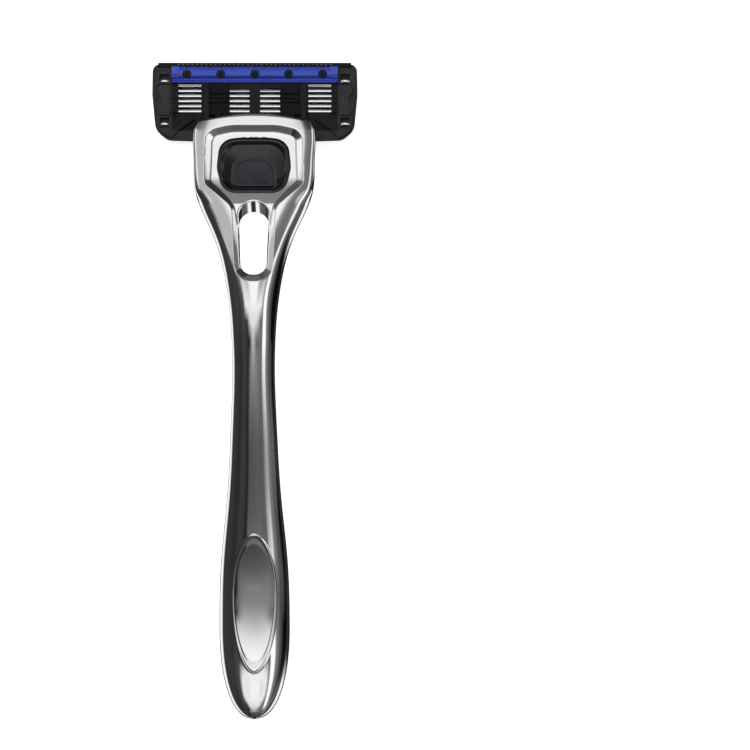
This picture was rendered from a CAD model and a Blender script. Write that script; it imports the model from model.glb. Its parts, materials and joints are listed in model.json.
"""Cartridge razor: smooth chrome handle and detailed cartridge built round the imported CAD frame.

Lengths in this script are millimetres until a mesh is made; MM turns them into metres.
"""
import json
import math

import bmesh
import bpy
import numpy as np
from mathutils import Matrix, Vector


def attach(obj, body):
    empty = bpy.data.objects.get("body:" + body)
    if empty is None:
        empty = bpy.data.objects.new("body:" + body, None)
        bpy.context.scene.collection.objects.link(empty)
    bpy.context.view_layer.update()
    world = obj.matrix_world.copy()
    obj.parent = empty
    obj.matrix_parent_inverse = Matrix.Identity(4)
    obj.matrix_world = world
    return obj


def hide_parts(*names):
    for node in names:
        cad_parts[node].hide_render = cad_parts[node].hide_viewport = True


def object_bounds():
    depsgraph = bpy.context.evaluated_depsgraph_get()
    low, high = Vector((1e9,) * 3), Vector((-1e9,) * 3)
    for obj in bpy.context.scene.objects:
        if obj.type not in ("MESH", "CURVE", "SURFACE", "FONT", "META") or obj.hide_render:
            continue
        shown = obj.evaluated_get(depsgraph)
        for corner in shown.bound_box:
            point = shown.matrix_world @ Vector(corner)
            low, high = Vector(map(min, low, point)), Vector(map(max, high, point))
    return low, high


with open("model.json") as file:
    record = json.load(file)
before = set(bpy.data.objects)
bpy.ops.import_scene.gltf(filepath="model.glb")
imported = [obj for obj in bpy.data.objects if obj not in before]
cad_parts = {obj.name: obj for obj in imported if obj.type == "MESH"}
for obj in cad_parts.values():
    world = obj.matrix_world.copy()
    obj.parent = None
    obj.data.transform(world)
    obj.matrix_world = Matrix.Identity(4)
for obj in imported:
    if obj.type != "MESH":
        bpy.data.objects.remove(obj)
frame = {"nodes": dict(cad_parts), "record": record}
CAD_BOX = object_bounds()
MM = 0.001

Y_END = CAD_BOX[1].y / MM
HEAD_W = 25.4
GRIP_W = 14.8
GRIP_T = 12.6
WAIST_W = 8.9
HEAD_TILT = math.radians(16)
HEAD_AT = np.array([0.0, Y_END - 12.3, 9.4])
FACE_N = 4.7
SHIELD_DEPTH = 0.9
FLOOR_N = 2.8


# ---------------------------------------------------------------- small tools
def new_object(name, verts, faces):
    mesh = bpy.data.meshes.new(name)
    mesh.from_pydata([tuple(v) for v in np.asarray(verts, float) * MM], [], faces)
    mesh.update()
    piece = bpy.data.objects.new(name, mesh)
    bpy.context.scene.collection.objects.link(piece)
    return piece


def apply_modifiers(piece):
    """Bakes an object's modifiers into its mesh."""
    deps = bpy.context.evaluated_depsgraph_get()
    deps.update()
    mesh = bpy.data.meshes.new_from_object(piece.evaluated_get(deps))
    old = piece.data
    piece.modifiers.clear()
    piece.data = mesh
    bpy.data.meshes.remove(old)


def outward(piece):
    """Turns a closed mesh's faces outwards."""
    bm = bmesh.new()
    bm.from_mesh(piece.data)
    bmesh.ops.recalc_face_normals(bm, faces=bm.faces)
    if bm.calc_volume(signed=True) < 0:
        bmesh.ops.reverse_faces(bm, faces=bm.faces)
    bm.to_mesh(piece.data)
    bm.free()


def carve(piece, cutter, operation="DIFFERENCE"):
    """Boolean of piece with cutter, which is used up."""
    modifier = piece.modifiers.new("carve", "BOOLEAN")
    modifier.operation = operation
    modifier.solver = "MANIFOLD"
    modifier.object = cutter
    apply_modifiers(piece)
    bpy.data.objects.remove(cutter)


def shade(piece, limit=32):
    """Smooth shading that stays sharp across edges steeper than limit, with area-weighted normals."""
    bm = bmesh.new()
    bm.from_mesh(piece.data)
    for face in bm.faces:
        face.smooth = True
    sharp = math.radians(limit)
    for edge in bm.edges:
        edge.smooth = len(edge.link_faces) == 2 and edge.calc_face_angle(0) < sharp
    bm.to_mesh(piece.data)
    bm.free()
    modifier = piece.modifiers.new("weighted", "WEIGHTED_NORMAL")
    modifier.keep_sharp = True
    modifier.weight = 80
    apply_modifiers(piece)


BODY_OF = {n: b for b, names in frame["record"]["behaviour"]["bodies"].items() for n in names}


def place(piece, node, material):
    """Rides a piece on its CAD node's body, in that node's stead."""
    piece.data.materials.clear()
    piece.data.materials.append(material)
    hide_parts(node)
    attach(piece, BODY_OF[node])


BEVEL_SEGMENTS = 2
BEVEL_ANGLE = math.radians(24)
WELD = 2e-7
FLAT_ANGLE = math.radians(0.6)


def softened(node, material, width, tilted=None, webs=()):
    """A copy of a CAD node with its edges rounded to width.

    tilted is (height, drop, ends): above height, each flat top lying between the Y ends falls by drop
    towards the head. webs are the opposite corners of boxes joined to it.
    """
    piece = bpy.data.objects.new(node + "_form", frame["nodes"][node].data.copy())
    bpy.context.scene.collection.objects.link(piece)
    bm = bmesh.new()
    bm.from_mesh(piece.data)
    bmesh.ops.remove_doubles(bm, verts=bm.verts, dist=WELD)
    bmesh.ops.dissolve_limit(bm, angle_limit=FLAT_ANGLE, verts=bm.verts, edges=bm.edges)
    if tilted:
        height, drop, ends = tilted
        for vert in bm.verts:
            if vert.co.z > height * MM:
                low, high = min(ends, key=lambda e: abs(vert.co.y / MM - sum(e) / 2))
                vert.co.z -= drop * MM * (vert.co.y / MM - low) / (high - low)
    for low, high in webs:
        low, high = Vector(low) * MM, Vector(high) * MM
        for vert in bmesh.ops.create_cube(bm, size=1)["verts"]:
            vert.co = Vector((l + (h - l) * (c + 0.5) for l, h, c in zip(low, high, vert.co)))
    bm.to_mesh(piece.data)
    bm.free()
    if width:
        modifier = piece.modifiers.new("round", "BEVEL")
        modifier.width = width * MM
        modifier.segments = BEVEL_SEGMENTS
        modifier.limit_method = "ANGLE"
        modifier.angle_limit = BEVEL_ANGLE
        apply_modifiers(piece)
    shade(piece)
    place(piece, node, material)


# ---------------------------------------------------------------- outlines
ARC_STEP = 6.0


def corner_arc(a, p, b, r):
    """Points of the arc of radius r that rounds corner p between a and b."""
    a, p, b = (np.array(v[:2], float) for v in (a, p, b))
    u, v = (a - p) / np.linalg.norm(a - p), (b - p) / np.linalg.norm(b - p)
    if r <= 0:
        return [p]
    half = math.acos(max(-1.0, min(1.0, float(u @ v)))) / 2
    centre = p + (u + v) / np.linalg.norm(u + v) * r / math.sin(half)
    reach = r / math.tan(half)
    start, end = p + u * reach - centre, p + v * reach - centre
    a0 = math.atan2(start[1], start[0])
    turn = (math.atan2(end[1], end[0]) - a0 + math.pi) % (2 * math.pi) - math.pi
    n = max(2, math.ceil(abs(math.degrees(turn)) / ARC_STEP))
    return [centre + r * np.array([math.cos(a0 + turn * i / n), math.sin(a0 + turn * i / n)])
            for i in range(n + 1)]


def rounded(corners):
    """Outline through corners [x, y, radius], each rounded by its radius."""
    n = len(corners)
    return np.array([q for i in range(n)
                     for q in corner_arc(corners[i - 1], corners[i], corners[(i + 1) % n], corners[i][2])])


def mirrored(half):
    """A whole outline's corners from those of its right half."""
    return half + [[-x, y, r] for x, y, r in reversed(half)]


def inside_depth(outline, x, y):
    """Signed distance to a closed outline, positive inside it."""
    shape = x.shape
    px, py = x.ravel(), y.ravel()
    best = np.full(px.shape, 1e9)
    inside = np.zeros(px.shape, bool)
    for a, b in zip(outline, np.roll(outline, -1, axis=0)):
        d = b - a
        length = float(d @ d)
        if length < 1e-12:
            continue
        t = np.clip(((px - a[0]) * d[0] + (py - a[1]) * d[1]) / length, 0, 1)
        best = np.minimum(best, (px - a[0] - t * d[0]) ** 2 + (py - a[1] - t * d[1]) ** 2)
        crosses = (a[1] > py) != (b[1] > py)
        if abs(d[1]) > 1e-12:
            inside ^= crosses & (px < a[0] + (py - a[1]) / d[1] * d[0])
    return (np.where(inside, 1, -1) * np.sqrt(best)).reshape(shape)


def even_loop(outline, count):
    """The same outline with count evenly spaced points, from its first one."""
    closed = np.vstack([outline, outline[:1]])
    run = np.concatenate([[0], np.cumsum(np.linalg.norm(np.diff(closed, axis=0), axis=1))])
    at = np.linspace(0, run[-1], count, endpoint=False)
    return np.stack([np.interp(at, run, closed[:, k]) for k in (0, 1)], axis=1)


def inset_loop(loop, amount):
    """A loop moved inwards by amount along its own normals."""
    tangent = np.roll(loop, -1, axis=0) - np.roll(loop, 1, axis=0)
    tangent /= np.linalg.norm(tangent, axis=1)[:, None]
    normal = np.stack([-tangent[:, 1], tangent[:, 0]], axis=1)
    area = np.sum(loop[:, 0] * np.roll(loop[:, 1], -1) - np.roll(loop[:, 0], -1) * loop[:, 1])
    return loop + normal * amount * np.sign(area)


def stack(name, levels):
    """A closed solid from loops of equal length, each with its height: [(loop, z), ...]."""
    count = len(levels[0][0])
    verts = np.vstack([np.column_stack([loop, np.full(count, z)]) for loop, z in levels])
    faces = [(r * count + i, r * count + (i + 1) % count,
              (r + 1) * count + (i + 1) % count, (r + 1) * count + i)
             for r in range(len(levels) - 1) for i in range(count)]
    faces.append(tuple(range(count - 1, -1, -1)))
    faces.append(tuple(range((len(levels) - 1) * count, len(levels) * count)))
    return name, verts, faces


def head_to_world(points):
    """From the head's own frame (x, along the docking direction, out of the face) to the part's."""
    points = np.asarray(points, float)
    s, c = math.sin(HEAD_TILT), math.cos(HEAD_TILT)
    y = points[..., 1] * c + points[..., 2] * s
    z = -points[..., 1] * s + points[..., 2] * c
    return np.stack([points[..., 0], y, z], axis=-1) + HEAD_AT


def world_to_head(points):
    """The inverse of head_to_world."""
    p = np.asarray(points, float) - HEAD_AT
    s, c = math.sin(HEAD_TILT), math.cos(HEAD_TILT)
    return np.stack([p[..., 0], p[..., 1] * c - p[..., 2] * s, p[..., 1] * s + p[..., 2] * c], axis=-1)


def in_head(made):
    """The object of a solid given in the head's own frame."""
    name, verts, faces = made
    piece = new_object(name, head_to_world(verts), faces)
    outward(piece)
    return piece


def prism(name, outline, z0, z1):
    """An upright prism in the head's own frame."""
    return in_head(stack(name, [(outline, z0), (outline, z1)]))


def box_outline(x0, y0, x1, y1):
    return np.array([[x0, y0], [x1, y0], [x1, y1], [x0, y1]], float)


# ---------------------------------------------------------------- handle
FACE_Y = HEAD_AT[1] + FACE_N * math.sin(HEAD_TILT)


def on_face(y):
    """Docking-direction coordinate of a point on the button face, from its Y."""
    return (y - FACE_Y) / math.cos(HEAD_TILT)


TAIL_Y = -Y_END
# how full the tail's end is: seen from above, on its low side and on its top
TAIL_BOW = 2.35
TAIL_BLUFF = 6.3
TOP_BLUFF = 8.5
BULGE_Y = TAIL_Y + 20
LIP_Y = FACE_Y
LIP_SAG = 1.7
SIDE_Y = Y_END - 14.4
SHOULDER_Y = Y_END - 27.7
# y, half width, height of the centreline, half thickness, squareness
STATIONS = np.array([
    [TAIL_Y, GRIP_W / 2 - 0.1, 7.7, GRIP_T / 2, 2.7],
    [BULGE_Y - 7.1, GRIP_W / 2, 6.33, GRIP_T / 2, 2.3],
    [BULGE_Y, GRIP_W / 2, 6.8, GRIP_T / 2, 2.1],
    [BULGE_Y + 13, GRIP_W / 2 - 0.4, 9.0, 5.85, 2.05],
    [BULGE_Y + 27, GRIP_W / 2 - 1.75, 12.7, 5.05, 2.0],
    [BULGE_Y + 41, WAIST_W / 2 + 0.4, 16.7, 4.4, 2.0],
    [BULGE_Y + 53, WAIST_W / 2, 19.3, 4.1, 2.0],
    [BULGE_Y + 64, WAIST_W / 2 + 0.45, 20.4, 4.0, 2.1],
    [BULGE_Y + 73, 6.15, 19.6, 3.95, 2.6],
    [BULGE_Y + 81.5, 8.65, 17.6, 4.05, 3.4],
    [SHOULDER_Y, HEAD_W / 2 - 0.45, 14.45, 4.5, 4.9],
    [SIDE_Y - 6, HEAD_W / 2, 12.1, 4.5, 8.0],
    [SIDE_Y, HEAD_W / 2 - 0.05, 11.25, 3.55, 8.0],
    [LIP_Y, HEAD_W / 2 - 1.0, 11.65, 2.3, 7.0]])


def spline(column):
    """Natural cubic spline through one column of the stations."""
    y, v = STATIONS[:, 0], STATIONS[:, column]
    n = len(y)
    h = np.diff(y)
    system, right = np.eye(n), np.zeros(n)
    for i in range(1, n - 1):
        system[i, i - 1:i + 2] = h[i - 1], 2 * (h[i - 1] + h[i]), h[i]
        right[i] = 6 * ((v[i + 1] - v[i]) / h[i] - (v[i] - v[i - 1]) / h[i - 1])
    m = np.linalg.solve(system, right)

    def value(at):
        at = np.clip(at, y[0], y[-1])
        i = np.clip(np.searchsorted(y, at) - 1, 0, n - 2)
        a, b = (y[i + 1] - at) / h[i], (at - y[i]) / h[i]
        return a * v[i] + b * v[i + 1] + ((a ** 3 - a) * m[i] + (b ** 3 - b) * m[i + 1]) * h[i] ** 2 / 6
    return value


WIDTH, CENTRE, THICK, SQUARE = (spline(k) for k in (1, 2, 3, 4))
LIP_ROUND = 0.5
NECK_LEAN = 0.75
NOTCH_Y = SHOULDER_Y + 0.9
NOTCH_LENGTH = 3.5


def smooth_step(x, start, end):
    t = np.clip((x - start) / (end - start), 0, 1)
    return t * t * (3 - 2 * t)


def lean(y):
    """How far the neck's flanks lean in towards its top."""
    grown = smooth_step(y, NOTCH_Y - 32.6, NOTCH_Y - 20.6)
    return NECK_LEAN * grown * smooth_step(NOTCH_Y - y, 0, NOTCH_LENGTH)


def sections(y):
    """Half width, top, low, squareness and lip fall-back of the handle's sections at y."""
    tail = np.clip((BULGE_Y - y) / (BULGE_Y - TAIL_Y), 0, 1)

    def fullness(power):
        return (1 - tail ** power) ** (1 / power)
    flat_share = smooth_step(y, SHOULDER_Y - 19, SHOULDER_Y - 5)
    face = HEAD_AT[2] + FACE_N * math.cos(HEAD_TILT) - (y - FACE_Y) * math.tan(HEAD_TILT)
    top = (1 - flat_share) * (CENTRE(y) + THICK(y) * fullness(TOP_BLUFF)) + flat_share * face
    low = CENTRE(y) - THICK(y) * fullness(TAIL_BLUFF)
    near_lip = np.clip((y - (LIP_Y - LIP_ROUND)) / LIP_ROUND, 0, 1)
    ease = LIP_ROUND * (1 - np.sqrt(1 - near_lip ** 2))
    back = LIP_SAG * np.clip((y - SIDE_Y) / (LIP_Y - SIDE_Y), 0, 1)
    return WIDTH(y) * fullness(TAIL_BOW) - ease, top - ease, low + ease, SQUARE(y), back


RING = 352
RING_SAMPLES = 1440
TOP_WEIGHT = 1.7


def ring_points(y0):
    """One closed section, evenly spaced but closer together on its top half."""
    w, top, low, n, back = (float(v) for v in sections(np.array(y0)))
    a = np.linspace(0, 2 * math.pi, RING_SAMPLES, endpoint=False)
    reach = (np.abs(np.cos(a)) ** n + np.abs(np.sin(a)) ** n) ** (-1 / n)
    q, s = reach * np.cos(a), reach * np.sin(a)
    x = (w - float(lean(np.array(y0))) * smooth_step(s, -0.2, 0.8)) * q
    z = (top + low) / 2 + (top - low) / 2 * s
    step = np.hypot(np.diff(np.append(x, x[0])), np.diff(np.append(z, z[0])))
    weight = np.where(s > -0.15, TOP_WEIGHT, 1.0)
    run = np.concatenate([[0], np.cumsum(step * weight)])
    at = np.linspace(0, run[-1], RING, endpoint=False)
    xs = np.interp(at, run, np.append(x, x[0]))
    zs = np.interp(at, run, np.append(z, z[0]))
    fall = back * (xs / max(w, 1e-6)) ** 2
    return np.stack([xs, y0 - fall, zs + fall * math.tan(HEAD_TILT)], axis=1)


# Features cut in the top, in the head's frame.
SHIELD_TOP = on_face(Y_END - 13.3)
SHIELD = rounded(mirrored([
    [5, SHIELD_TOP, 12], [10.2, SHIELD_TOP - 1.3, 3.2], [10.4, on_face(Y_END - 25.6), 2.5],
    [4.6, on_face(Y_END - 30.5), 3], [3.9, on_face(Y_END - 46.1), 3.6]]))
RECESS_TOP = on_face(Y_END - 15.8)
RECESS_LOW = on_face(Y_END - 27.55)
RECESS = rounded(mirrored([
    [3.2, RECESS_TOP, 9], [7.15, RECESS_TOP - 0.55, 3.4], [7.8, RECESS_TOP - 6.6, 5],
    [6.5, RECESS_LOW, 3.6]]))
SLOT_TOP = on_face(Y_END - 29.4)
SLOT_LENGTH = 15.1
SLOT = rounded(mirrored([
    [3.25, SLOT_TOP, 3.1], [2.65, SLOT_TOP - SLOT_LENGTH / math.cos(HEAD_TILT), 2.5]]))
OVAL_Y = -43.3
OVAL_UP, OVAL_DOWN = 13.4, 16.2
OVAL_HALF = 4.98
OVAL = np.array([
    [OVAL_HALF * math.cos(a), OVAL_Y + (OVAL_UP if math.sin(a) > 0 else OVAL_DOWN) * math.sin(a)]
    for a in np.linspace(0, 2 * math.pi, 181)[:-1]])
BEAD_HEIGHT = 0.1
DISH_DEPTH, TAIL_DISH_DEPTH = 0.62, 0.3
SHIELD_SLOPE_RUN = 1.5
SLOT_EASE = 0.4


def ease_edge(away, radius):
    """How far a surface drops close to an edge, where away is the distance from it."""
    return 0.5 * radius * np.clip(1 - away / radius, 0, 1) ** 2


def soft_max(a, b, r):
    """The larger of two heights, with the crease between them rounded over about r."""
    return (a + b + np.sqrt((a - b) ** 2 + r * r)) / 2


def oval_profile(away, radial, y):
    """Height of the thumb oval: a low bead round a shallow dish, deeper towards the tail."""
    bead = BEAD_HEIGHT * np.sin(math.pi * np.clip((away - 0.08) / 0.66, 0, 1)) ** 2
    depth = DISH_DEPTH + TAIL_DISH_DEPTH * smooth_step(OVAL_Y - y, -2, 8)
    dish = depth * np.clip(1 - (radial / 0.83) ** 2, 0, 1)
    return bead - BEAD_HEIGHT * smooth_step(away, 0.4, 0.95) - dish


def carve_top(points, is_top):
    """Moves the top's points down into the shield, the thumb oval and the eased edges."""
    p = points.copy()
    head = world_to_head(p)
    near_head = is_top & (p[:, 1] > 18)
    h = head[near_head]
    shield = inside_depth(SHIELD, h[:, 0], h[:, 1])
    # the floor rises to the neck's own height along the channel
    rise = 0.013 * np.clip(np.minimum(-h[:, 1], 19.5) - 13.5, 0, None) ** 2
    rise *= 1 - smooth_step(-h[:, 1], 20, 29)
    floor = FACE_N - SHIELD_DEPTH + rise
    ramp = h[:, 2] - np.clip(shield, 0, None) * SHIELD_DEPTH / SHIELD_SLOPE_RUN
    sunk = np.minimum(h[:, 2], soft_max(ramp, floor, 0.06))
    h[:, 2] = np.where(shield > 0, sunk, h[:, 2])
    slot = -inside_depth(SLOT, h[:, 0], h[:, 1])
    h[:, 2] -= ease_edge(np.clip(slot, 0, None), SLOT_EASE)
    head[near_head] = h
    p[near_head] = head_to_world(h)
    near_oval = is_top & (p[:, 1] < -20)
    o = p[near_oval]
    v = (o[:, 1] - OVAL_Y) / np.where(o[:, 1] > OVAL_Y, OVAL_UP, OVAL_DOWN)
    radial = np.sqrt((o[:, 0] / OVAL_HALF) ** 2 + v ** 2)
    away = inside_depth(OVAL, o[:, 0], o[:, 1])
    o[:, 2] += np.where(away > 0, oval_profile(away, radial, o[:, 1]), 0)
    p[near_oval] = o
    return p


FINE_STEP, WIDE_STEP = 0.17, 0.45


def handle_rows():
    """Places of the sections along the handle, closer where it has fine shape."""
    tail = BULGE_Y - (BULGE_Y - TAIL_Y) * np.sin(np.linspace(math.pi / 2 - 0.02, 0, 150)[:-1])
    grip = np.arange(BULGE_Y, -29, FINE_STEP)
    waist = np.arange(grip[-1] + WIDE_STEP, 17, WIDE_STEP)
    neck = np.arange(waist[-1] + FINE_STEP, LIP_Y - LIP_ROUND, FINE_STEP)
    lip = LIP_Y - LIP_ROUND + LIP_ROUND * np.sin(np.linspace(0, math.pi / 2, 7))
    return np.concatenate([tail, grip, waist, neck, lip])


def build_handle():
    rows = handle_rows()
    points = np.vstack([ring_points(y) for y in rows])
    heights = np.repeat([float(sum(sections(np.array(y))[1:3]) / 2) for y in rows], RING)
    points = carve_top(points, points[:, 2] > heights + 0.2)
    points[:, 2] = np.minimum(points[:, 2], CAD_BOX[1].z / MM)
    verts = np.vstack([[[0, TAIL_Y, STATIONS[0, 2]]], points])
    last = len(rows) - 1

    def at(r, i):
        return 1 + r * RING + i % RING
    faces = [(0, at(0, i), at(0, i + 1)) for i in range(RING)]
    faces += [(at(r, i), at(r + 1, i), at(r + 1, i + 1), at(r, i + 1))
              for r in range(last) for i in range(RING)]
    quarter = RING // 4
    for i in range(-quarter, quarter):
        across = at(last, i), at(last, i + 1), at(last, 2 * quarter - i - 1), at(last, 2 * quarter - i)
        faces.append(tuple(dict.fromkeys(across)))
    piece = new_object("handle_shell", verts, faces)
    outward(piece)
    nose_half = 10.0
    plug_half = nose_half + 0.3
    carve(piece, prism("cut_nose", box_outline(-nose_half, -17.2, nose_half, 6), -2.5, 2.5))
    carve(piece, prism("cut_plug", box_outline(-plug_half, -5.6, plug_half, 6), -9, -2.4))
    carve(piece, prism("cut_recess", RECESS, 2.4, 9))
    carve(piece, prism("cut_slot", SLOT, -16, 16))
    shade(piece, 30)
    return piece


# ---------------------------------------------------------------- materials
def shader(name, color, rough, metallic=0.0, **sockets):
    """A Principled material; returns it with its node tree and its shader node."""
    material = bpy.data.materials.new(name)
    material.use_nodes = True
    tree = material.node_tree
    node = tree.nodes["Principled BSDF"]
    node.inputs["Base Color"].default_value = (*color, 1)
    node.inputs["Roughness"].default_value = rough
    node.inputs["Metallic"].default_value = metallic
    for key, value in sockets.items():
        node.inputs[key.replace("_", " ")].default_value = value
    return material, tree, node


def noise(tree, scale, detail, stretch=(1, 1, 1)):
    """A noise texture in object space; scale is in repeats per metre."""
    coords = tree.nodes.new("ShaderNodeTexCoord")
    mapping = tree.nodes.new("ShaderNodeMapping")
    mapping.inputs["Scale"].default_value = stretch
    texture = tree.nodes.new("ShaderNodeTexNoise")
    texture.inputs["Scale"].default_value = scale
    texture.inputs["Detail"].default_value = detail
    texture.inputs["Roughness"].default_value = 0.5
    tree.links.new(coords.outputs["Object"], mapping.inputs["Vector"])
    tree.links.new(mapping.outputs["Vector"], texture.inputs["Vector"])
    return texture.outputs["Fac"]


def ramp(tree, source, stops):
    """A colour by a 0-1 source, through stops (place, grey value or colour)."""
    node = tree.nodes.new("ShaderNodeValToRGB")
    elements = node.color_ramp.elements
    while len(elements) < len(stops):
        elements.new(0.5)
    for element, (at, value) in zip(elements, stops):
        element.position = at
        element.color = (*value, 1) if isinstance(value, tuple) else (value, value, value, 1)
    tree.links.new(source, node.inputs["Fac"])
    return node.outputs["Color"]


def bump(tree, node, height, strength, distance):
    """Bumps a shader by a 0-1 height; distance is in mm."""
    texture = tree.nodes.new("ShaderNodeBump")
    texture.inputs["Strength"].default_value = strength
    texture.inputs["Distance"].default_value = distance * MM
    tree.links.new(height, texture.inputs["Height"])
    tree.links.new(texture.outputs["Normal"], node.inputs["Normal"])


def vary(tree, node, socket, source, low, high):
    """Drives a socket between low and high by a 0-1 source."""
    tree.links.new(ramp(tree, source, [(0.3, low), (0.7, high)]), node.inputs[socket])


def chrome_material():
    material, tree, node = shader("chrome", (0.9, 0.9, 0.905), 0.05, 1.0)
    vary(tree, node, "Roughness", noise(tree, 140, 5), 0.035, 0.075)
    bump(tree, node, noise(tree, 900, 2), 0.02, 0.02)
    return material


def moulded(name, color, rough, depth=0.02, spread=0.12, **sockets):
    """Moulded plastic with a fine spark-eroded grain and slight colour drift."""
    material, tree, node = shader(name, color, rough, **sockets)
    drift = noise(tree, 300, 3)
    dark = tuple(c * (1 - spread) for c in color)
    light = tuple(min(1, c * (1 + spread) + 0.002) for c in color)
    tree.links.new(ramp(tree, drift, [(0.35, dark), (0.65, light)]), node.inputs["Base Color"])
    vary(tree, node, "Roughness", noise(tree, 900, 3), rough - 0.06, rough + 0.08)
    bump(tree, node, noise(tree, 10400, 2), 0.25, depth)
    return material


def blended(tree, kind, a, b, share=None):
    """Two colours put together, wholly or by a 0-1 share."""
    node = tree.nodes.new("ShaderNodeMixRGB")
    node.blend_type = kind
    node.inputs["Fac"].default_value = 1
    if share is not None:
        tree.links.new(share, node.inputs["Fac"])
    tree.links.new(a, node.inputs["Color1"])
    tree.links.new(b, node.inputs["Color2"])
    return node.outputs["Color"]


def zoned(material, zones):
    """Multiplies a base colour by the lightest of some ramps (axis, stops in mm) in object space."""
    tree = material.node_tree
    base = tree.nodes["Principled BSDF"].inputs["Base Color"]
    coords = tree.nodes.new("ShaderNodeTexCoord")
    split = tree.nodes.new("ShaderNodeSeparateXYZ")
    tree.links.new(coords.outputs["Object"], split.inputs["Vector"])
    tone = None
    for axis, stops in zones:
        low, high = stops[0][0], stops[-1][0]
        span = tree.nodes.new("ShaderNodeMapRange")
        span.inputs["From Min"].default_value = low * MM
        span.inputs["From Max"].default_value = high * MM
        tree.links.new(split.outputs[axis], span.inputs["Value"])
        zone = ramp(tree, span.outputs["Result"], [((at - low) / (high - low), v) for at, v in stops])
        tone = blended(tree, "LIGHTEN", tone, zone) if tone else zone
    tree.links.new(blended(tree, "MULTIPLY", base.links[0].from_socket, tone), base)


def ground_steel(name, color, rough, stretch, depth=0.006):
    """Ground steel with hairlines; stretch sets their direction."""
    material, tree, node = shader(name, color, rough, 1.0)
    lines = noise(tree, 5200, 3, stretch)
    vary(tree, node, "Roughness", lines, rough - 0.07, rough + 0.1)
    bump(tree, node, lines, 0.12, depth)
    return material


CHROME = chrome_material()
BLACK = moulded("black_plastic", (0.004, 0.004, 0.006), 0.2, depth=0.001, Specular_IOR_Level=0.6)
BUTTON = moulded("button_plastic", (0.017, 0.017, 0.024), 0.42)
HOUSING = moulded("housing_plastic", (0.03, 0.03, 0.032), 0.42, Specular_IOR_Level=0.2)
INNER = moulded("inner_plastic", (0.03, 0.03, 0.033), 0.5)
# The housing's ends and cheeks are paler than its middle.
zoned(HOUSING, [
    ("X", [(-22, 1.0), (-17.55, 1.0), (-17.4, 0.3), (-9.7, 0.35), (-9.6, 0.12), (-5.35, 0.12),
           (-5.2, 0.35), (5.2, 0.35), (5.35, 0.12), (9.6, 0.12), (9.7, 0.35), (17.4, 0.3),
           (17.55, 1.0), (22, 1.0)]),
    ("Y", [(Y_END - 20, 0.9), (Y_END - 14.3, 0.9), (Y_END - 14.1, 0.0), (Y_END, 0.0)])])
COMB = moulded("comb_plastic", (0.008, 0.006, 0.006), 0.5, Specular_IOR_Level=0.25)
BLUE = moulded("blue_plastic", (0.02, 0.05, 0.40), 0.2, depth=0.001, spread=0.05)
STAKE = moulded("stake_plastic", (0.005, 0.005, 0.005), 0.3)
RUBBER = moulded("fin_rubber", (0.04, 0.045, 0.06), 0.75)
STRIP = moulded("strip", (0.55, 0.7, 0.8), 0.55, spread=0.05)
BLADE = ground_steel("blade_steel", (0.93, 0.94, 0.95), 0.12, (0.05, 1, 1), depth=0.001)
SPRING = ground_steel("spring_steel", (0.5, 0.5, 0.52), 0.3, (1, 0.1, 1))
CLIP = ground_steel("clip_aluminium", (0.93, 0.93, 0.94), 0.14, (1, 0.05, 1), depth=0.002)


# ---------------------------------------------------------------- world, floor, camera
# The studio round the object, as light by direction: x right, y towards the head, z up.
# Overhead, the light grows from a dark ceiling behind the tail to a softbox past the head.
ALONG = [(-1.0, 0.03), (-0.6, 0.03), (-0.52, 0.05), (-0.46, 0.07), (-0.43, 0.09), (-0.41, 0.11),
         (-0.38, 0.14), (-0.35, 0.18), (-0.31, 0.26), (-0.25, 0.39), (-0.15, 0.56), (-0.04, 0.73),
         (0.09, 0.89), (0.2, 1.0), (0.55, 1.0), (0.6, 0.5), (0.68, 0.22), (0.8, 0.25), (1.0, 0.12)]
# How it falls off to the sides, from the tail's end of the studio to the head's: BACK, MIDDLE,
# HALFWAY and FRONT, with the places where each gives way to the next.
BACK = [(-0.42, 0.0), (-0.3, 0.95), (-0.2, 1.0), (0.2, 1.0), (0.3, 0.95), (0.45, 0.5), (0.6, 0.3),
        (0.7, 0.0)]
MIDDLE = [(-0.36, 0.01), (-0.26, 0.05), (-0.19, 0.4), (-0.1, 0.8), (0.0, 1.0), (0.07, 0.7),
          (0.17, 0.36), (0.3, 0.2), (0.55, 0.2), (0.8, 0.02)]
HALFWAY = [(-0.44, 0.02), (-0.3, 0.6), (-0.2, 1.0), (0.2, 1.0), (0.32, 0.7), (0.48, 0.2), (0.64, 0.03)]
FRONT = [(-0.66, 0.03), (-0.5, 0.95), (-0.4, 1.0), (0.42, 1.0), (0.52, 0.9), (0.66, 0.03)]
TO_MIDDLE = [(-0.38, 0.0), (-0.2, 1.0)]
TO_HALFWAY = [(-0.16, 0.0), (-0.02, 1.0)]
TO_FRONT = [(-0.02, 0.0), (0.1, 1.0)]
# A dark card stands on the left, and a grey one on the right with a strip light (LINE) before it,
# which dims by LIFT behind the tail.
SIDES = [(-1.0, 0.03), (-0.9, 0.022), (-0.75, 0.045), (-0.6, 0.04), (-0.42, 0.016), (-0.25, 0.018),
         (0.0, 0.03), (0.33, 0.04), (0.6, 0.08), (0.75, 0.16), (0.87, 0.2), (0.95, 0.17), (1.0, 0.03)]
LINE = [(0.64, 0.0), (0.7, 0.9), (0.84, 0.9), (0.9, 0.0)]
LIFT = [(-0.45, 0.0), (-0.38, 0.15), (-0.33, 0.3), (-0.19, 1.0)]
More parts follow.
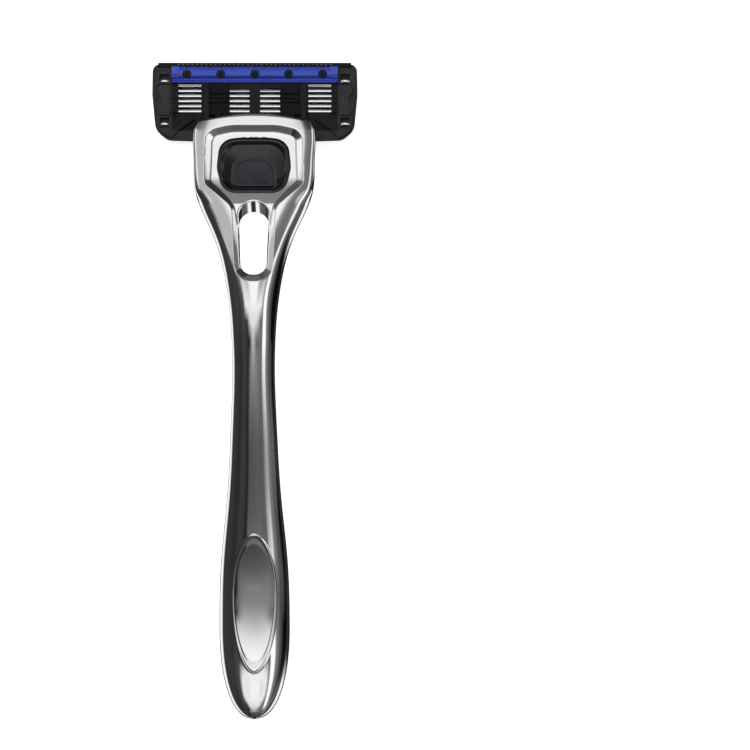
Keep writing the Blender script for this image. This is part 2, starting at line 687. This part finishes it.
# Towards the head there is a softbox between two cards.
HEAD = [(-1.0, 0.45), (-0.92, 0.5), (-0.88, 1.0), (-0.8, 1.0), (-0.75, 0.5), (-0.2, 0.5),
        (-0.1, 1.0), (0.12, 1.0), (0.2, 0.3), (0.3, 0.18), (0.7, 0.16), (0.78, 0.9), (0.88, 1.0),
        (0.92, 0.3), (1.0, 0.12)]
TO_HEAD = [(0.1, 0.0), (0.3, 1.0)]
# Below the horizon is the bright table. It is dark right under the object and farther out, where
# CARDS stand round it. Towards the tail it shows dark stripes.
WHITE = [(0, 1.0), (1, 1.0)]
TABLE = [(-0.93, 0.0), (-0.88, 1.0), (-0.62, 1.0), (-0.5, 0.0)]
CARDS = [(0.7, 0.04), (0.86, 0.04), (0.95, 0.13), (1.0, 0.1)]
STRIPES = [(-0.38, 1.0), (-0.33, 0.15), (-0.23, 0.15), (-0.19, 1.0), (-0.1, 1.0), (-0.07, 0.03),
           (0.07, 0.03), (0.1, 1.0), (0.19, 1.0), (0.23, 0.15), (0.33, 0.15), (0.38, 1.0)]
TO_TAIL = [(-0.3, 1.0), (-0.22, 0.0)]
# A black card lies on its right, beside the waist.
RIGHT = [(0.1, 1.0), (0.25, 0.03)]
BESIDE = [(-0.16, 0.0), (-0.09, 1.0), (0.03, 1.0), (0.1, 0.0)]
HORIZON = [(-0.1, 0.0), (-0.03, 1.0)]


def build_world():
    world = bpy.data.worlds.new("studio")
    bpy.context.scene.world = world
    world.use_nodes = True
    tree = world.node_tree
    coords = tree.nodes.new("ShaderNodeTexCoord")
    split = tree.nodes.new("ShaderNodeSeparateXYZ")
    tree.links.new(coords.outputs["Generated"], split.inputs["Vector"])

    def by(axis, stops):
        shifted = tree.nodes.new("ShaderNodeMapRange")
        shifted.inputs["From Min"].default_value = -1
        shifted.inputs["From Max"].default_value = 1
        tree.links.new(split.outputs[axis], shifted.inputs["Value"])
        return ramp(tree, shifted.outputs["Result"], [((at + 1) / 2, v) for at, v in stops])

    def mix(a, b, share):
        return blended(tree, "MIX", a, b, share)

    def times(a, b):
        return blended(tree, "MULTIPLY", a, b)

    def plus(a, b):
        return blended(tree, "ADD", a, b)
    along = by("Y", ALONG)
    across = mix(by("X", BACK), by("X", MIDDLE), by("Y", TO_MIDDLE))
    across = mix(across, by("X", HALFWAY), by("Y", TO_HALFWAY))
    across = mix(across, by("X", FRONT), by("Y", TO_FRONT))
    sides = plus(by("X", SIDES), times(by("X", LINE), by("Y", LIFT)))
    above = mix(plus(times(along, across), sides), times(along, by("X", HEAD)), by("Y", TO_HEAD))
    below = mix(by("X", CARDS), by("X", WHITE), by("Z", TABLE))
    below = mix(below, times(below, by("X", STRIPES)), by("Y", TO_TAIL))
    below = mix(below, times(below, by("X", RIGHT)), by("Y", BESIDE))
    light = mix(below, above, by("Z", HORIZON))
    tree.links.new(light, tree.nodes["Background"].inputs["Color"])


def build_stage():
    scene = bpy.context.scene
    scene.view_settings.view_transform = "Standard"
    floor_material, _, node = shader("pale_floor", (0.9, 0.9, 0.9), 0.7)
    node.inputs["Emission Color"].default_value = (1, 1, 1, 1)
    node.inputs["Emission Strength"].default_value = 0.8
    reach, level = 1500, -0.05
    floor = new_object("floor", [[-reach, -reach, level], [reach, -reach, level], [reach, reach, level],
                                 [-reach, reach, level]], [(0, 1, 2, 3)])
    floor.data.materials.append(floor_material)
    floor.visible_glossy = False
    build_world()

    key = bpy.data.objects.new("key", bpy.data.lights.new("key", "AREA"))
    key.data.shape = "RECTANGLE"
    key.data.size, key.data.size_y = 0.5, 0.4
    key.data.energy = 4
    key.location = (-0.12, 0.32, 0.75)
    key.rotation_euler = (Vector((0, 0, 0)) - key.location).to_track_quat("-Z", "Y").to_euler()
    key.visible_glossy = False
    scene.collection.objects.link(key)

    camera = bpy.data.objects.new("camera", bpy.data.cameras.new("camera"))
    # field is the picture's width at the height focus_z
    field, distance, focus_z = 157.5, 1500.0, 8.0
    camera.data.lens = camera.data.sensor_width * (distance - focus_z) / field
    camera.location = (25.3 * MM, 3.2 * MM, distance * MM)
    camera.data.clip_start, camera.data.clip_end = 0.1, 10
    scene.collection.objects.link(camera)
    scene.camera = camera


# ---------------------------------------------------------------- head pieces
def build_surround():
    """The button's surround: a rim, a bowl sloping in from it, a ledge and a well round the button."""
    count = 192
    outer = inset_loop(even_loop(RECESS, count), 0.05)
    bowl = even_loop(rounded(mirrored([
        [6.3, on_face(Y_END - 17.1), 3.4], [6.3, on_face(Y_END - 23.8), 2],
        [4.5, on_face(Y_END - 26.5), 0.8]])), count)
    well = even_loop(rounded(mirrored([[4.75, -8.8, 3.7], [4.75, -15.9, 0.8]])), count)
    top = FACE_N - SHIELD_DEPTH - 0.1
    rim, ledge = inset_loop(outer, 0.65), inset_loop(bowl, 0.3)
    steps = [(outer, 2.51), (outer, top - 0.25), (inset_loop(outer, 0.08), top - 0.1),
             (inset_loop(outer, 0.2), top - 0.02), (inset_loop(outer, 0.35), top), (rim, top - 0.01)]
    steps += [(rim + (bowl - rim) * share, top - 0.01 - 0.48 * share ** 1.2)
              for share in np.linspace(0, 1, 9)[1:]]
    steps += [(inset_loop(bowl, 0.08), top - 0.52), (ledge, top - 0.53)]
    steps += [(ledge + (well - ledge) * share, top - 0.53 - 0.37 * share ** 1.2)
              for share in np.linspace(0, 1, 7)[1:]]
    piece = in_head(stack("button_bowl", steps))
    carve(piece, prism("cut_guide", box_outline(-1.65, -15.0, 1.65, -10.0), 0, 7))
    shade(piece)
    place(piece, "button_surround", BLACK)


def build_button():
    """The thumb button, arched at its front and slightly dished."""
    half, low_y, top_y = 4.2, -15.6, -9.65
    arch = even_loop(rounded([[half, low_y, 0.5], [half, top_y, 3.4], [-half, top_y, 3.4],
                              [-half, low_y, 0.5]]), 128)
    centre = np.array([0, (low_y + top_y) / 2])
    base, top = FLOOR_N + 0.05, FLOOR_N + 0.75
    levels = [(arch, base), (arch, top - 0.24), (inset_loop(arch, 0.05), top - 0.1),
              (inset_loop(arch, 0.14), top - 0.03), (inset_loop(arch, 0.26), top)]
    rim = inset_loop(arch, 0.5)
    for share in np.linspace(1, 0.04, 14):
        levels.append((centre + (rim - centre) * share, top - 0.02 - 0.2 * (1 - share ** 2)))
    piece = in_head(stack("thumb_button", levels))
    carve(piece, prism("add_tongue", box_outline(-1.4, -14.6, 1.4, -12.2), 2.3, FLOOR_N + 0.2), "UNION")
    shade(piece)
    place(piece, "release_button", BUTTON)


# ---------------------------------------------------------------- small mechanism
def build_spring():
    """A closed-end helix of round wire along the docking direction."""
    back, front, coil, wire, turns, sides = -15.35, -6.05, 0.9, 0.16, 7, 14
    steps = turns * 40
    t = np.linspace(0, 1, steps + 1)
    pitch = back + wire + (front - back - 2 * wire) * t
    round_wire = np.linspace(0, 2 * math.pi, sides, endpoint=False)
    a, b = np.meshgrid(2 * math.pi * turns * t, round_wire, indexing="ij")
    reach = coil + wire * np.cos(b)
    verts = np.stack([reach * np.cos(a), pitch[:, None] + wire * np.sin(b), reach * np.sin(a)], axis=-1)
    faces = [(r * sides + i, r * sides + (i + 1) % sides, (r + 1) * sides + (i + 1) % sides,
              (r + 1) * sides + i) for r in range(steps) for i in range(sides)]
    faces += [tuple(range(sides)), tuple(range(steps * sides, (steps + 1) * sides))]
    piece = in_head(("return_spring", verts.reshape(-1, 3), faces))
    shade(piece, 60)
    place(piece, "plunger_spring", SPRING)


# ---------------------------------------------------------------- cartridge pieces
CART_Y = Y_END - 8.25
STAKE_Y = 5.84
STAKE_PITCH = 7.13
BLADE_Y = CART_Y + 3.44
BLADE_PITCH = 1.07


def in_cart(made):
    """From the cartridge's own frame to the part's."""
    name, verts, faces = made
    piece = new_object(name, np.asarray(verts, float) + np.array([0, CART_Y, 0]), faces)
    outward(piece)
    return piece


def turned(name, profile, x, y, count=40):
    """A closed solid turned round an upright axis, from (radius, height) points."""
    a = np.linspace(0, 2 * math.pi, count, endpoint=False)
    circle = np.column_stack([np.cos(a), np.sin(a)])
    return stack(name, [(np.array([x, y]) + r * circle, z) for r, z in profile])


def merged(name, solids):
    """Several solids as one."""
    verts, faces = [], []
    for _, v, f in solids:
        offset = sum(len(part) for part in verts)
        verts.append(v)
        faces += [tuple(i + offset for i in face) for face in f]
    return name, np.vstack(verts), faces


def build_stakes():
    """Heat-staked plastic pins: a rounded head with a small dimple in its middle."""
    profile = [(0.49, 2.25), (0.49, 5.9), (0.78, 5.92), (0.85, 6.0), (0.86, 6.15), (0.82, 6.27), (0.72, 6.36),
               (0.58, 6.41), (0.46, 6.4), (0.4, 6.34), (0.35, 6.2), (0.3, 6.13), (0.16, 6.14), (0.1, 6.2),
               (0.02, 6.22)]
    solids = [turned("stake", profile, i * STAKE_PITCH, STAKE_Y) for i in range(-2, 3)]
    piece = in_cart(merged("stakes", solids))
    shade(piece, 50)
    place(piece, "trimmer_rivets", STAKE)


def extruded(name, profile, x0, x1):
    """A bar along X from a profile of (y, z) points."""
    profile = np.asarray(profile, float)
    verts = [np.column_stack([np.full(len(profile), x), profile]) for x in (x0, x1)]
    n = len(profile)
    faces = [(i, (i + 1) % n, n + (i + 1) % n, n + i) for i in range(n)]
    return name, np.vstack(verts), faces + [tuple(range(n)), tuple(range(n, 2 * n))]


def build_holder():
    """The blue trimmer holder: ribbed along its length, notched along its front edge."""
    ribbed = rounded([
        (4.06, 4.76, 0.02), (7.36, 4.76, 0.02), (7.36, 5.42, 0.12), (7.02, 5.6, 0.15), (6.9, 6.02, 0.15),
        (6.6, 6.02, 0.1), (6.55, 6.2, 0.1), (5.35, 6.28, 0.6), (5.05, 6.0, 0.12), (4.95, 5.72, 0.12),
        (4.62, 5.72, 0.12), (4.5, 5.58, 0.1), (4.06, 5.55, 0.12)])
    piece = in_cart(extruded("blue_holder", ribbed, -17.45, 17.45))
    lug = rounded([(5.0, 5.2, 0), (7.46, 5.3, 0.05), (7.46, 6.3, 0.15), (5.9, 6.52, 0.3), (5.0, 6.4, 0.15)])
    for side in (-1, 1):
        carve(piece, in_cart(extruded("add_lug", lug, side * 16.7 - 0.8, side * 16.7 + 0.8)), "UNION")
    notch_pitch = 2.38
    for i in range(-6, 7):
        x = i * notch_pitch
        carve(piece, in_cart(extruded("cut_notch", box_outline(7.08, 5.0, 8, 7), x - 0.16, x + 0.16)))
    for i in range(-2, 3):
        profile = [(0.5, 4), (0.5, 5.85), (0.92, 5.88), (0.98, 6.6)]
        carve(piece, in_cart(turned("cut_hole", profile, i * STAKE_PITCH, STAKE_Y)))
    shade(piece, 30)
    place(piece, "trimmer_holder", BLUE)


build_stage()
place(build_handle(), "handle_body", CHROME)
build_surround()
build_button()
softened("docking_nose", BLACK, 0.12)
softened("ejector", INNER, 0.08)
softened("plunger", INNER, 0)
build_spring()
softened("connector", INNER, 0.1)
# the webs close two gaps through which the table would show
softened("cartridge_housing", HOUSING, 0.07,
         webs=[((x - 0.95, CART_Y - 3.6, 2.0), (x + 0.95, CART_Y - 2.5, 2.25)) for x in (-8.85, 8.85)])
for number in range(1, 7):
    support = BLADE_Y - BLADE_PITCH * (number - 1)
    softened(f"shaving_blade_{number}", BLADE, 0.02, tilted=(3.0, 0.08, [(support - 0.3, support + 0.3)]))
softened("guard_fins", RUBBER, 0.04)
softened("lubricating_strip", STRIP, 0.1)
softened("trimmer_comb", COMB, 0.05)
softened("trimmer_blade", BLADE, 0.01)
build_holder()
build_stakes()
clip_ends = [(CART_Y - 4.78, CART_Y - 4.33), (CART_Y + 4.24, CART_Y + 4.69)]
for clip in ("end_clip_left", "end_clip_right"):
    softened(clip, CLIP, 0.05, tilted=(4.2, 0.06, clip_ends))
